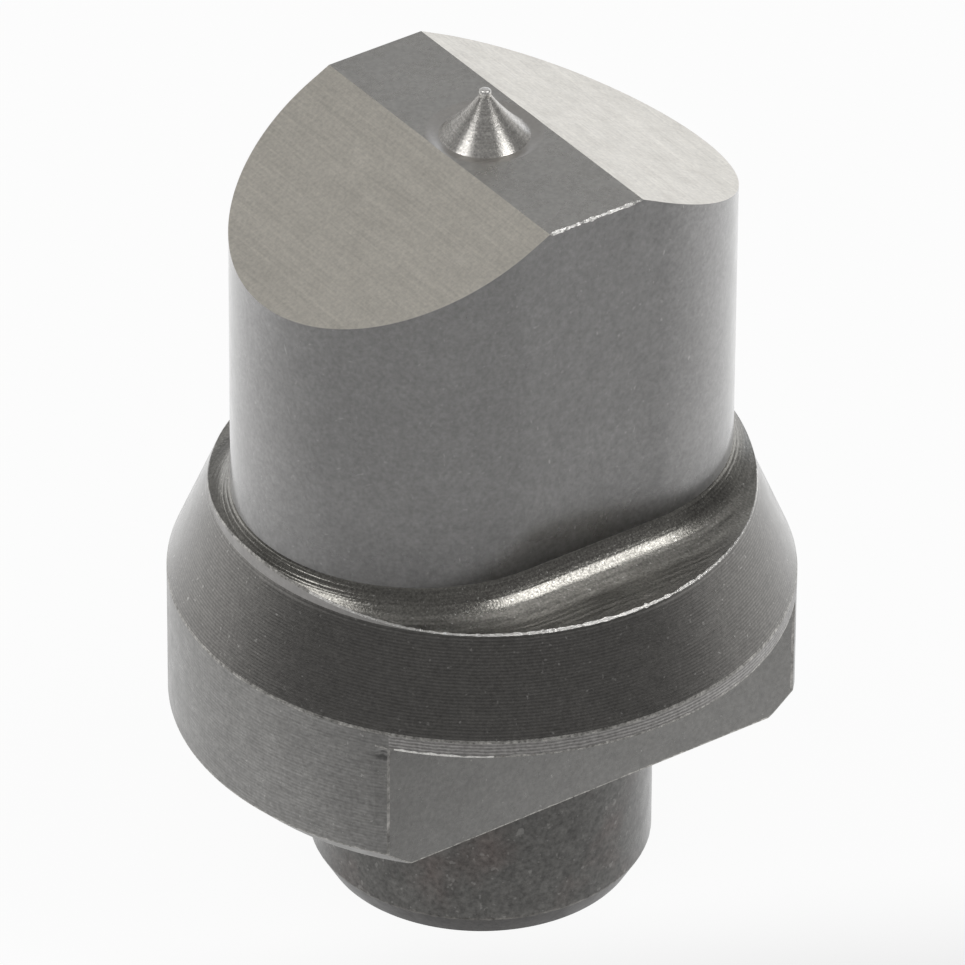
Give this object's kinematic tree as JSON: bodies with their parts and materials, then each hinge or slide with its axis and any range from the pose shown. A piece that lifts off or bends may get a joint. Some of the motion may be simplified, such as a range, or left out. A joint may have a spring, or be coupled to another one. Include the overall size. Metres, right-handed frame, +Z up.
{
  "type": "oval punch",
  "caption": "Solid oval punch: locating stub, round head with a key flat under a lip, cone seat, and a coved oval point with a roof shear and a centring teat.",
  "frame": {"origin": "centre of the stub's end face, on the axis of the head and stub", "axes": "+Z runs up the axis to the working face, +X along the long axis of the oval, and the key flat faces -Y"},
  "size_m": [0.04, 0.04, 0.057],
  "materials": {
    "tool_steel": "hardened tool steel, finely turned head and cone, ground oval and roof faces, oil-dark grey"
  },
  "bodies": {
    "root": {"oval_punch": "tool_steel"}
  },
  "joints": []
}
